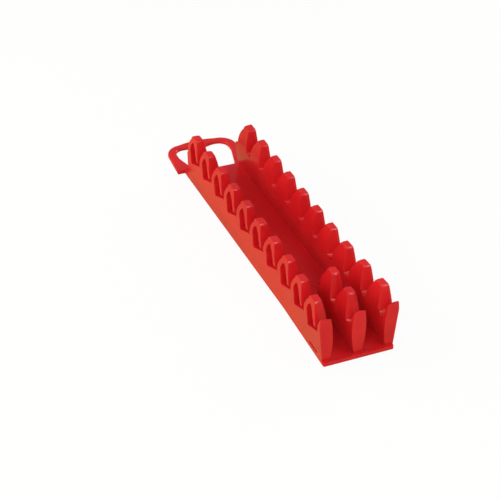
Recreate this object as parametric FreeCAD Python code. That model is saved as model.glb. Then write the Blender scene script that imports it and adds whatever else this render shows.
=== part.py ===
import FreeCAD, Part
import math
import os

# A screwdriver rack moulded in one piece, in millimetres.
# X runs across the rack, Y along it towards the hanging loop, Z up.
# The origin lies under the middle of the whole moulding.

# Rows of gripping fingers
pitch = 24.0            # from the middle of one finger to the next
slot_count = 10         # slots along each side wall
short_slot_count = 2    # slots along the short middle wall
finger_height = 43.0    # tips above the table
end_cut = 5.5           # near end face, past the middle of the first finger
post_drop = 6.0         # the first finger is cut down to a post, this far under the others

# Outline of a finger, seen from the side
tip_near = 6.0          # from the finger's middle to the crisp near edge of its tip
tip_far = 1.2           # and to where the far side starts to round off
crown_radius = 3.0      # rounding on the far side of the tip
belly_near = 8.4        # flanks where the finger swells
belly_far = 8.2
belly_drop = 8.5        # below the top
slot_floor = 24.2
root_half = 10.3        # flanks where the slot's round floor begins
root_rise = 1.3         # above the floor of the slot

# The arched pocket in a finger's outer side, and the cut that frees its near leg
arch_drop = 5.0         # below the top
arch_top_shift = 0.3    # the arch leans a little to the far side
arch_near_waist = 5.2   # halfway up the arch
arch_far_waist = 4.7
leg_foot_half = 7.0     # inner corner of the free leg's foot
leg_gap = 1.6           # from the floor of the slot up to that foot
arch_far_half = 4.3
relief_start = 1.0      # behind the middle of the slot
relief_depth = 5.9      # from the floor of the slot down to the lowest point under the leg
relief_round = 1.6

# Side walls, measured out from the middle of the rack
foot_outer = 24.0
shoulder_outer = 25.2
shoulder_height = 31.0
tip_outer = 24.1
tip_inner = 18.8
swell_inner = 15.4      # inner face at its thickest
swell_height = 25.0
foot_inner = 18.2

# Middle wall, half thicknesses
mid_foot_half = 2.8
mid_swell_half = 5.1
mid_tip_half = 2.7
mid_end = 11.0          # its far end, past the middle of its last finger

# A slot is straight through the outer skin of its wall, then widens inwards
grip_skin = 4.0
slot_widening = 1.8     # on each side, at the wall's thickest place

# Floor
floor_thickness = 3.0
floor_lip = 2.4         # floor in front of the walls' end faces
floor_tail = 7.5        # floor behind the walls' far ends
corner_radius = 1.2

# The near end is splayed to make room for the middle wall
splayed_pitches = 3
foot_splay = 1.9        # outward shift of each side at the table, at the very end
finger_splay = 3.7      # outward shift of the fingers there, which also lean out

# Narrow slots at the foot of the side walls
foot_slot_setback = 8.1 # behind the walls' end faces
foot_slot_length = 12.5
foot_slot_height = 1.8
foot_slot_gap = 0.9     # above the floor

# Hanging loop
loop_thickness = 3.2
loop_shoulder = 6.0     # the loop's root stands out beside the floor
loop_taper = 1.6        # narrower by this on each side at its far end
loop_length = 38.4      # from the floor's far edge to the loop's far edge
loop_corner = 13.0
loop_bow = 2.2          # how far the far edge bows out
loop_edge_round = 0.9
side_band = 6.6         # left of the loop beside its eye
far_band = 7.2          # and behind it
eye_shoulder = 8.0      # the eye's root is narrower than the floor by this on each side
eye_straight = 6.2      # straight stretch of the eye's widest sides
eye_corner = 8.0
eye_bite = 5.2          # the eye cuts this far into the floor
notch_half = 4.0        # between the two points beside the nail notch
notch_depth = 3.4
point_drop = 2.4        # how far the points stand into the eye

# Heights that follow from these
post_height = finger_height - post_drop
belly_height = finger_height - belly_drop
root_height = slot_floor + root_rise
arch_top = finger_height - arch_drop
leg_foot_height = slot_floor + leg_gap
arch_waist_height = (arch_top + leg_foot_height) / 2
relief_floor = slot_floor - relief_depth

# Places that follow from them
wall_length = slot_count * pitch + pitch / 2 - end_cut
floor_length = floor_lip + wall_length + floor_tail
whole_length = floor_length + loop_length
front = -whole_length / 2
wall_near = front + floor_lip
first_finger = wall_near - end_cut
wall_far = wall_near + wall_length
floor_far = front + floor_length
splay_start = first_finger + splayed_pitches * pitch
splay_run = splay_start - wall_near
loop_root_half = foot_outer + loop_shoulder
loop_far_half = loop_root_half - loop_taper
loop_far = floor_far + loop_length
eye_root_half = foot_outer - eye_shoulder
eye_far_half = loop_far_half - side_band
eye_far = loop_far - far_band
eye_waist = eye_far - eye_corner - eye_straight
reach = finger_height   # how far cutters run past what they cut


def point(x, y, z):
    return FreeCAD.Vector(x, y, z)


def line(start, end):
    return Part.LineSegment(start, end).toShape()


def arc(start, middle, end):
    return Part.Arc(start, middle, end).toShape()


def finger_y(number):
    """Middle of a finger, counted from the near end."""
    return first_finger + number * pitch


def splay_at(y, full):
    """How far a side has moved outwards at this place, if it moves by full at the end."""
    return full * max(0.0, (splay_start - y) / splay_run)


def slot_wire(middle, x, grow):
    """The outline of a slot at one depth, widened on both sides by grow."""
    side = middle + pitch / 2
    near = middle - pitch / 2
    above = finger_height + reach
    diagonal = crown_radius * math.sqrt(0.5)
    crown_height = finger_height - crown_radius
    tip = side - tip_near + grow
    crest = near + tip_far - grow
    flank = crest + crown_radius
    edges = [
        line(point(x, crest, above), point(x, tip, above)),
        line(point(x, tip, above), point(x, tip, finger_height)),
        arc(point(x, tip, finger_height), point(x, side - belly_near + grow, belly_height),
            point(x, side - root_half + grow, root_height)),
        arc(point(x, side - root_half + grow, root_height), point(x, middle, slot_floor),
            point(x, near + root_half - grow, root_height)),
        arc(point(x, near + root_half - grow, root_height),
            point(x, near + belly_far - grow, belly_height), point(x, flank, crown_height)),
        arc(point(x, flank, crown_height),
            point(x, crest + diagonal, crown_height + diagonal), point(x, crest, finger_height)),
        line(point(x, crest, finger_height), point(x, crest, above)),
    ]
    return Part.Wire(edges)


def slot_cutter(middle, depths):
    """A slot through one wall; depths are pairs of place across and widening."""
    wires = [slot_wire(middle, x, grow) for x, grow in depths]
    return Part.makeLoft(wires, True, True)


def side_slot(middle):
    """A slot through the right-hand wall, straight in its skin and wider inside."""
    out = splay_at(middle, finger_splay)
    inside = swell_inner + out
    skin = shoulder_outer - grip_skin + out
    return slot_cutter(middle, [(inside, slot_widening), (skin, 0.0), (skin + reach, 0.0)])


def middle_slot(middle):
    """A slot through the middle wall, narrowest at its core."""
    far = mid_swell_half
    return slot_cutter(middle, [(-far, slot_widening), (0.0, 0.0), (far, slot_widening)])


def arch_cutter(number):
    """The arched pocket of one right-hand finger, open outwards, and the cut under its near leg."""
    y = finger_y(number)
    x = tip_inner + splay_at(y, finger_splay)
    top = point(x, y + arch_top_shift, arch_top)
    near_waist = point(x, y - arch_near_waist, arch_waist_height)
    foot = point(x, y - leg_foot_half, leg_foot_height)
    start = y - pitch / 2 + relief_start
    gap_top = point(x, start, leg_foot_height)
    gap_floor = point(x, start, slot_floor)
    bend = point(x, y + arch_far_half - relief_round, relief_floor)
    rise = point(x, y + arch_far_half, relief_floor + relief_round)
    offset = relief_round * (1 - math.sqrt(0.5))
    corner = point(x, y + arch_far_half - offset, relief_floor + offset)
    far_foot = point(x, y + arch_far_half, leg_foot_height)
    far_waist = point(x, y + arch_far_waist, arch_waist_height)
    edges = [
        arc(top, near_waist, foot),
        line(foot, gap_top),
        line(gap_top, gap_floor),
        line(gap_floor, bend),
        arc(bend, corner, rise),
        line(rise, far_foot),
        arc(far_foot, far_waist, top),
    ]
    return Part.Face(Part.Wire(edges)).extrude(point(reach, 0, 0))


def side_section(y):
    """Cross-section of the right-hand wall: thick at mid height, thin at foot and tip."""
    low = splay_at(y, foot_splay)
    high = splay_at(y, finger_splay)
    foot = point(foot_outer + low, y, 0)
    shoulder = point(shoulder_outer + high, y, shoulder_height)
    tip = point(tip_outer + high, y, finger_height)
    inner_tip = point(tip_inner + high, y, finger_height)
    swell = point(swell_inner + high, y, swell_height)
    inner_foot = point(foot_inner + low, y, floor_thickness)
    inner_heel = point(foot_inner + low, y, 0)
    return Part.Wire([
        line(foot, shoulder),
        line(shoulder, tip),
        line(tip, inner_tip),
        arc(inner_tip, swell, inner_foot),
        line(inner_foot, inner_heel),
        line(inner_heel, foot),
    ])


def middle_section(y):
    """Cross-section of the middle wall."""
    left_foot = point(-mid_foot_half, y, floor_thickness)
    right_foot = point(mid_foot_half, y, floor_thickness)
    left_tip = point(-mid_tip_half, y, finger_height)
    right_tip = point(mid_tip_half, y, finger_height)
    left_heel = point(-mid_foot_half, y, 0)
    right_heel = point(mid_foot_half, y, 0)
    edges = [
        line(left_heel, right_heel),
        line(right_heel, right_foot),
        arc(right_foot, point(mid_swell_half, y, swell_height), right_tip),
        line(right_tip, left_tip),
        arc(left_tip, point(-mid_swell_half, y, swell_height), left_foot),
        line(left_foot, left_heel),
    ]
    return Part.Face(Part.Wire(edges))


def foot_slot():
    """A narrow round-ended slot through the foot of the right-hand wall."""
    radius = foot_slot_height / 2
    near = wall_near + foot_slot_setback + radius
    far = near + foot_slot_length - foot_slot_height
    z = floor_thickness + foot_slot_gap + radius
    across = point(reach, 0, 0)
    tunnel = Part.makeBox(reach, far - near, foot_slot_height, point(0, near, z - radius))
    for y in (near, far):
        tunnel = tunnel.fuse(Part.makeCylinder(radius, reach, point(0, y, z), across))
    return tunnel


def post_trim():
    """Takes the top off the posts at the near end."""
    width = 2 * reach
    return Part.makeBox(width, pitch / 2, reach, point(-width / 2, wall_near - end_cut, post_height))


def side_wall():
    """The right-hand wall with its fingers."""
    sections = [side_section(y) for y in (wall_near, splay_start, wall_far)]
    wall = Part.makeLoft(sections, True, True)
    for number in range(slot_count + 1):
        wall = wall.cut(side_slot(finger_y(number) + pitch / 2))
    for number in range(1, slot_count + 1):
        wall = wall.cut(arch_cutter(number))
    return wall.cut(foot_slot())


def middle_wall():
    """The short wall between the two near bays."""
    far = finger_y(short_slot_count) + mid_end
    wall = middle_section(wall_near).extrude(point(0, far - wall_near, 0))
    for number in range(short_slot_count + 1):
        wall = wall.cut(middle_slot(finger_y(number) + pitch / 2))
    return wall


def floor_plate():
    """The floor, splayed at its near end."""
    wide = foot_outer + splay_at(front, foot_splay)
    corners = [
        point(-wide, front, 0), point(wide, front, 0), point(foot_outer, splay_start, 0),
        point(foot_outer, floor_far, 0), point(-foot_outer, floor_far, 0),
        point(-foot_outer, splay_start, 0), point(-wide, front, 0),
    ]
    plate = Part.Face(Part.makePolygon(corners)).extrude(point(0, 0, floor_thickness))
    near_edges = [
        edge for edge in plate.Edges
        if edge.BoundBox.ZLength > floor_thickness / 2 and edge.BoundBox.YMax < wall_near
    ]
    return plate.makeFillet(corner_radius, near_edges)


def loop_outline():
    """Outer edge of the hanging loop."""
    turn = loop_far - loop_bow
    side = turn - loop_corner
    inset = loop_corner * (1 - math.sqrt(0.5))
    edges = [
        line(point(-loop_root_half, floor_far, 0), point(loop_root_half, floor_far, 0)),
        line(point(loop_root_half, floor_far, 0), point(loop_far_half, side, 0)),
        arc(point(loop_far_half, side, 0), point(loop_far_half - inset, turn - inset, 0),
            point(loop_far_half - loop_corner, turn, 0)),
        arc(point(loop_far_half - loop_corner, turn, 0), point(0, loop_far, 0),
            point(loop_corner - loop_far_half, turn, 0)),
        arc(point(loop_corner - loop_far_half, turn, 0),
            point(inset - loop_far_half, turn - inset, 0), point(-loop_far_half, side, 0)),
        line(point(-loop_far_half, side, 0), point(-loop_root_half, floor_far, 0)),
    ]
    return Part.Wire(edges)


def eye_outline():
    """Inner edge of the loop: two lobes with a nail notch between two points."""
    near = floor_far - eye_bite
    inset = eye_corner * (1 - math.sqrt(0.5))
    lobe_top = eye_far_half - eye_corner
    tip_y = eye_far - point_drop
    fall = (lobe_top + notch_half) / 2
    edges = [line(point(-eye_root_half, near, 0), point(eye_root_half, near, 0))]
    for side in (1, -1):
        edges.append(line(point(side * eye_root_half, near, 0), point(side * eye_far_half, eye_waist, 0)))
        edges.append(line(point(side * eye_far_half, eye_waist, 0),
                          point(side * eye_far_half, eye_far - eye_corner, 0)))
        edges.append(arc(point(side * eye_far_half, eye_far - eye_corner, 0),
                         point(side * (eye_far_half - inset), eye_far - inset, 0),
                         point(side * lobe_top, eye_far, 0)))
        edges.append(arc(point(side * lobe_top, eye_far, 0),
                         point(side * fall, eye_far - point_drop / 4, 0),
                         point(side * notch_half, tip_y, 0)))
    edges.append(arc(point(notch_half, tip_y, 0), point(0, tip_y + notch_depth, 0),
                     point(-notch_half, tip_y, 0)))
    return Part.Wire(Part.__sortEdges__(edges))


def hanging_loop():
    """The flat loop with rounded edges, its root sunk into the floor's end."""
    outer = Part.Face(loop_outline()).extrude(point(0, 0, loop_thickness))
    eye = Part.Face(eye_outline()).extrude(point(0, 0, loop_thickness))
    loop = outer.cut(eye)
    rims = [
        edge for edge in loop.Edges
        if edge.BoundBox.ZLength < loop_edge_round and edge.BoundBox.YMax > floor_far + loop_edge_round
    ]
    return loop.makeFillet(loop_edge_round, rims), eye


def rack():
    """The whole moulding as one solid."""
    right = side_wall()
    left = right.mirror(point(0, 0, 0), point(1, 0, 0))
    walls = right.fuse([left, middle_wall()]).cut(post_trim())
    loop, eye = hanging_loop()
    body = walls.fuse([floor_plate().cut(eye), loop])
    return body.removeSplitter()


def write(shape, name):
    os.makedirs("parts", exist_ok=True)
    shape.exportStep(os.path.join("parts", name + ".step"))
    box = shape.BoundBox
    print(name, "solids", len(shape.Solids), "valid", shape.isValid())
    print("  size", round(box.XLength, 2), round(box.YLength, 2), round(box.ZLength, 2))
    print("  volume", round(shape.Volume / 1000, 2), "cm3", "faces", len(shape.Faces))


write(rack(), "rack")
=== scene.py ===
import math

import bpy
from mathutils import Matrix, Vector


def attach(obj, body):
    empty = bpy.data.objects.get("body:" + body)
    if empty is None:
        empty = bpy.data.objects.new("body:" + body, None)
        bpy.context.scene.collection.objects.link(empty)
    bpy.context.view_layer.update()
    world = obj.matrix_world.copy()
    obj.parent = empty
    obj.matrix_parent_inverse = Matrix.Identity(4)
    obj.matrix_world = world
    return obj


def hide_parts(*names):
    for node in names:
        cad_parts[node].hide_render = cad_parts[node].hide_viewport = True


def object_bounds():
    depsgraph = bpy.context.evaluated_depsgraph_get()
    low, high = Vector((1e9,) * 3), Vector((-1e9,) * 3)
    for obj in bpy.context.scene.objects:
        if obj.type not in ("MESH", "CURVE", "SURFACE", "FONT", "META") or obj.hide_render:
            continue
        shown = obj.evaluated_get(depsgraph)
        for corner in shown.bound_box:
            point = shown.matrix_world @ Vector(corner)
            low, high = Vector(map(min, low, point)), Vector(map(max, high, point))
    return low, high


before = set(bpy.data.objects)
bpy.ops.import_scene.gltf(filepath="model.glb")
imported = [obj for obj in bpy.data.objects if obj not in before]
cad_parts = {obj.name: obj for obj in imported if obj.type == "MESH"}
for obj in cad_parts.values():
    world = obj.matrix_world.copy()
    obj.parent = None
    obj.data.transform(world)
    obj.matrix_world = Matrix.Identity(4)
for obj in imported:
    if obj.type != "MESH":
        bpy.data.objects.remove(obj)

cadLow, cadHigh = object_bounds()
print("frame loaded, box", [round(v, 4) for v in cadLow], [round(v, 4) for v in cadHigh])


class Sock:
    # a socket that can be used in Python expressions
    def __init__(self, tree, out):
        self.tree, self.out = tree, out

    def node(self, kind, settings=None, values=None, output=0):
        # adds any node beside this socket; a value can be a number, a colour or another Sock
        made = self.tree.nodes.new(kind)
        for name, value in (settings or {}).items():
            setattr(made, name, value)
        pairs = values.items() if isinstance(values, dict) else enumerate(values or [])
        for key, value in pairs:
            if isinstance(value, Sock):
                self.tree.links.new(value.out, made.inputs[key])
            else:
                made.inputs[key].default_value = value
        return Sock(self.tree, made.outputs[output])

    def feed(self, socket):
        self.tree.links.new(self.out, socket)

    def math(self, operation, first, second):
        return self.node("ShaderNodeMath", {"operation": operation}, [first, second])

    def __add__(self, other): return self.math("ADD", self, other)
    def __radd__(self, other): return self.math("ADD", other, self)
    def __sub__(self, other): return self.math("SUBTRACT", self, other)
    def __rsub__(self, other): return self.math("SUBTRACT", other, self)
    def __mul__(self, other): return self.math("MULTIPLY", self, other)
    def __rmul__(self, other): return self.math("MULTIPLY", other, self)

    def ramp(self, low, high):
        return self.node("ShaderNodeMapRange", {"interpolation_type": "SMOOTHSTEP"},
                         {"Value": self, "From Min": low, "From Max": high})

    def mixColor(self, first, second):
        # a Mix node's colour sockets are its inputs 6 and 7 and its output 2
        return self.node("ShaderNodeMix", {"data_type": "RGBA"}, {0: self, 6: first, 7: second}, 2)

    def noise(self, values):
        return self.node("ShaderNodeTexNoise", None, {"Vector": self, **values})


redPlastic = {
    "color": (0.66, 0.0135, 0.0180, 1.0),
    "deepColor": (0.59, 0.0105, 0.0155, 1.0),     # where the melt ran slower
    "brightColor": (0.71, 0.0180, 0.0210, 1.0),
    "drift": {"Scale": 22.0, "Detail": 3.0},      # slow drift towards the bright colour
    "driftRange": (0.5, 0.85),
    "flow": {"Scale": 1.0, "Detail": 4.0, "Distortion": 0.6},
    "flowStretch": (38.0, 9.0, 38.0),             # the melt flowed along the rack
    "flowRange": (0.35, 0.7),
    "flowHeight": 0.8,        # height of the flow marks against the mould's waviness
    "peel": {"Scale": 520.0, "Detail": 2.0},      # faint waviness of the mould
    "peelHeight": 0.00002,
    "peelStrength": 0.3,
    "roughness": 0.22,
    "roughnessSpread": 0.08,
    "scuff": {"Scale": 420.0, "Detail": 6.0, "Roughness": 0.65},
    "scuffShare": 0.6,        # the rest of the change in gloss follows the flow
    "ior": 1.46,
    "shine": 0.36,
    "glow": 0.12,             # light that wanders through the thin walls
    "glowColor": (1.0, 0.12, 0.08),
    "glowDepth": 0.002,
}


def makeRedPlastic():
    look = redPlastic
    material = bpy.data.materials.new("redPlastic")
    material.use_nodes = True
    tree = material.node_tree
    shader = tree.nodes["Principled BSDF"]
    place = Sock(tree, tree.nodes.new("ShaderNodeTexCoord").outputs["Object"])
    alongRack = place.node("ShaderNodeMapping", None, {"Vector": place, "Scale": look["flowStretch"]})
    drift = place.noise(look["drift"])
    flow = alongRack.noise(look["flow"])
    scuff = place.noise(look["scuff"])
    peel = place.noise(look["peel"])
    deep = flow.ramp(*look["flowRange"]).mixColor(look["color"], look["deepColor"])
    color = drift.ramp(*look["driftRange"]).mixColor(deep, look["brightColor"])
    gloss = scuff * look["scuffShare"] + flow * (1 - look["scuffShare"]) - 0.5    # noise is 0.5 on average
    roughness = look["roughness"] + look["roughnessSpread"] * gloss
    height = peel + flow * look["flowHeight"]
    bump = height.node("ShaderNodeBump", None,
                       {"Strength": look["peelStrength"], "Distance": look["peelHeight"], "Height": height})
    color.feed(shader.inputs["Base Color"])
    roughness.feed(shader.inputs["Roughness"])
    bump.feed(shader.inputs["Normal"])
    shader.inputs["IOR"].default_value = look["ior"]
    shader.inputs["Specular IOR Level"].default_value = look["shine"]
    shader.inputs["Subsurface Weight"].default_value = look["glow"]
    shader.inputs["Subsurface Radius"].default_value = look["glowColor"]
    shader.inputs["Subsurface Scale"].default_value = look["glowDepth"]
    return material


# metres and degrees
rackEdges = {
    "mergeDistance": 0.00002,
    "flatAngle": 0.5,         # faces that meet at less than this become one
    "crownBand": 0.0005,      # the crowns' flat tops lie within this of the rack's highest point
    "crownFacing": 0.9,       # how far the crown's top faces up
    "nearFacing": 0.7,        # how far the finger's face points to the near end
    "chamferWidth": 0.0010,
    "sharpAngle": 35.0,       # the mould rounds edges that are sharper than this
    "roundWidth": 0.00025,
    "roundSteps": 2,
    "loopReach": 0.0389,      # this far from the rack's far end the loop has its own rounding
    "smoothAngle": 30.0,
}


def deselectAll():
    if bpy.context.object and bpy.context.object.mode != "OBJECT":
        bpy.ops.object.mode_set(mode="OBJECT")
    bpy.ops.object.select_all(action="DESELECT")


def pick(piece):
    deselectAll()
    piece.select_set(True)
    bpy.context.view_layer.objects.active = piece


def cleanMesh(piece):
    pick(piece)
    bpy.ops.mesh.customdata_custom_splitnormals_clear()
    bpy.ops.object.mode_set(mode="EDIT")
    bpy.ops.mesh.select_mode(type="EDGE")
    bpy.ops.mesh.select_all(action="SELECT")
    bpy.ops.mesh.remove_doubles(threshold=rackEdges["mergeDistance"])
    bpy.ops.mesh.dissolve_limited(angle_limit=math.radians(rackEdges["flatAngle"]))
    bpy.ops.mesh.normals_make_consistent(inside=False)
    bpy.ops.mesh.select_all(action="DESELECT")
    bpy.ops.object.mode_set(mode="OBJECT")
    print("mesh merged:", len(piece.data.vertices), "points")


def selectCrownEdges(mesh):
    # where a crown's flat top meets the finger's near face
    crownLevel = cadHigh.z - rackEdges["crownBand"]
    normals = {}
    for face in mesh.polygons:
        for key in face.edge_keys:
            normals.setdefault(key, []).append(face.normal)
    for edge in mesh.edges:
        onCrown = min(mesh.vertices[i].co.z for i in edge.vertices) > crownLevel
        up = max(normal.z for normal in normals[edge.key])
        near = max(-normal.y for normal in normals[edge.key])
        edge.select = onCrown and up > rackEdges["crownFacing"] and near > rackEdges["nearFacing"]


def chamferCrowns(piece):
    selectCrownEdges(piece.data)
    print("crowns:", sum(edge.select for edge in piece.data.edges), "edges to chamfer")
    pick(piece)
    bpy.ops.object.mode_set(mode="EDIT")
    bpy.ops.mesh.bevel(offset=rackEdges["chamferWidth"], segments=1, affect="EDGES")
    bpy.ops.object.mode_set(mode="OBJECT")


def roundSharpEdges(piece):
    pick(piece)
    bpy.ops.object.mode_set(mode="EDIT")
    bpy.ops.mesh.select_all(action="DESELECT")
    bpy.ops.mesh.edges_select_sharp(sharpness=math.radians(rackEdges["sharpAngle"]))
    bpy.ops.object.mode_set(mode="OBJECT")
    mesh = piece.data
    loopStart = cadHigh.y - rackEdges["loopReach"]
    weights = mesh.attributes.new("bevel_weight_edge", "FLOAT", "EDGE")
    for edge in mesh.edges:
        farEnd = max(mesh.vertices[i].co.y for i in edge.vertices)
        weights.data[edge.index].value = float(edge.select and farEnd < loopStart)
    rounding = piece.modifiers.new("mouldedEdges", "BEVEL")
    rounding.width = rackEdges["roundWidth"]
    rounding.segments = rackEdges["roundSteps"]
    rounding.limit_method = "WEIGHT"
    rounding.use_clamp_overlap = False
    bpy.ops.object.modifier_apply(modifier=rounding.name)
    print("edges rounded:", len(piece.data.polygons), "faces")


def smoothRack(piece):
    pick(piece)
    bpy.ops.object.shade_smooth_by_angle(angle=math.radians(rackEdges["smoothAngle"]))
    # flat faces stay flat beside the rounded edges
    flats = piece.modifiers.new("flatFaces", "WEIGHTED_NORMAL")
    flats.keep_sharp = True
    bpy.ops.object.modifier_apply(modifier=flats.name)


def makeRack():
    rack = bpy.data.objects.new("rackMoulding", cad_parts["rack"].data.copy())
    bpy.context.scene.collection.objects.link(rack)
    cleanMesh(rack)
    chamferCrowns(rack)
    roundSharpEdges(rack)
    smoothRack(rack)
    rack.data.materials.clear()
    rack.data.materials.append(makeRedPlastic())
    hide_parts("rack")
    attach(rack, "root")
    print("rack ready")


plainWhite = (1.0, 1.0, 1.0, 1.0)

studioFloor = {
    "size": 6.0,
    "color": (0.90, 0.89, 0.87, 1.0),
    "cameraWhite": 0.93,      # share of plain white that the camera sees
    # painted reflection: glossy rays see a warm orange-yellow glow here instead of the floor's own paint,
    # which puts a warm sheen on the red plastic
    "paintedReflectionColor": (1.0, 0.80, 0.36, 1.0),        # the floor as the red plastic mirrors it
    "paintedReflectionStrength": 0.45,
}


def makeFloor():
    deselectAll()
    bpy.ops.mesh.primitive_plane_add(size=studioFloor["size"])
    floor = bpy.context.object
    floor.name = "studioFloor"
    floor.data.transform(Matrix.Translation((0, 0, cadLow.z)))
    material = bpy.data.materials.new("paleFloor")
    material.use_nodes = True
    tree = material.node_tree
    tree.nodes.remove(tree.nodes["Principled BSDF"])
    rays = tree.nodes.new("ShaderNodeLightPath")
    cameraRay = Sock(tree, rays.outputs["Is Camera Ray"])
    glossyRay = Sock(tree, rays.outputs["Is Glossy Ray"])
    paint = cameraRay.node("ShaderNodeBsdfDiffuse", None, {"Color": studioFloor["color"]})
    # painted reflection: the floor glows warm for glossy rays only, so the plastic mirrors a warm light
    # that no lamp gives
    paintedReflection = cameraRay.node("ShaderNodeEmission", None,
                          {"Color": studioFloor["paintedReflectionColor"], "Strength": studioFloor["paintedReflectionStrength"]})
    white = cameraRay.node("ShaderNodeEmission", None, {"Color": plainWhite, "Strength": 1.0})
    mirrored = cameraRay.node("ShaderNodeMixShader", None, [glossyRay, paint, paintedReflection])
    whiteShare = cameraRay * studioFloor["cameraWhite"]
    seen = cameraRay.node("ShaderNodeMixShader", None, [whiteShare, mirrored, white])
    seen.feed(tree.nodes["Material Output"].inputs["Surface"])
    floor.data.materials.append(material)


softRoom = {
    "strength": 0.30,         # the camera sees the room at 1, which is white
}


def makeWorld():
    world = bpy.data.worlds.new("softRoom")
    bpy.context.scene.world = world
    world.use_nodes = True
    tree = world.node_tree
    background = tree.nodes["Background"]
    background.inputs["Color"].default_value = plainWhite
    cameraRay = Sock(tree, tree.nodes.new("ShaderNodeLightPath").outputs["Is Camera Ray"])
    strength = cameraRay * (1 - softRoom["strength"]) + softRoom["strength"]
    strength.feed(background.inputs["Strength"])


# all the panels face the middle of the rack; the crown panel shows in the crowns' chamfers
studioLamps = {
    "leftPanel": {"at": (-0.66, 0.32, 0.44), "size": 0.85, "power": 5.8, "color": (1.0, 0.92, 0.82)},
    "frontPanel": {"at": (-0.42, -0.93, 0.68), "size": 0.7, "power": 5.4, "color": (1.0, 0.96, 0.92)},
    "backPanel": {"at": (0.98, 0.38, 0.38), "size": 0.6, "power": 4.6, "color": (1.0, 0.98, 0.96)},
    "crownPanel": {"at": (0.33, -0.45, 0.97), "size": 0.35, "power": 2.4, "color": (1.0, 0.98, 0.96)},
}


def makeLamps():
    for name, lamp in studioLamps.items():
        light = bpy.data.lights.new(name, "AREA")
        light.shape = "SQUARE"
        light.size = lamp["size"]
        light.energy = lamp["power"]
        light.color = lamp["color"]
        holder = bpy.data.objects.new(name, light)
        bpy.context.scene.collection.objects.link(holder)
        holder.location = lamp["at"]
        holder.rotation_euler = (-Vector(lamp["at"])).to_track_quat("-Z", "Y").to_euler()


# fitted to points of the rack in the photo: degrees, metres and millimetres of film
photoCamera = {
    "azimuth": -23.65,
    "elevation": 34.96,
    "roll": 1.0,
    "distance": 1.159,
    "target": (-0.0180, -0.0057, 0.0),
    "lens": 115.2,
    "sensor": 36.0,
}


def makeCamera():
    shot = photoCamera
    azimuth, elevation, roll = (math.radians(shot[k]) for k in ("azimuth", "elevation", "roll"))
    back = Vector((math.sin(azimuth) * math.cos(elevation), -math.cos(azimuth) * math.cos(elevation),
                   math.sin(elevation)))
    right = Vector((math.cos(azimuth), math.sin(azimuth), 0))
    up = back.cross(right)
    rolledRight = math.cos(roll) * right + math.sin(roll) * up
    rolledUp = math.cos(roll) * up - math.sin(roll) * right
    data = bpy.data.cameras.new("photoCamera")
    data.lens = shot["lens"]
    data.sensor_width = shot["sensor"]
    camera = bpy.data.objects.new("photoCamera", data)
    bpy.context.scene.collection.objects.link(camera)
    turn = Matrix((rolledRight, rolledUp, back)).transposed().to_4x4()
    camera.matrix_world = Matrix.Translation(Vector(shot["target"]) + back * shot["distance"]) @ turn
    bpy.context.scene.camera = camera


makeRack()
makeFloor()
makeWorld()
makeLamps()
makeCamera()
bpy.context.scene.view_settings.view_transform = "Standard"
print("studio ready:", len(studioLamps), "panels and the photo's camera")
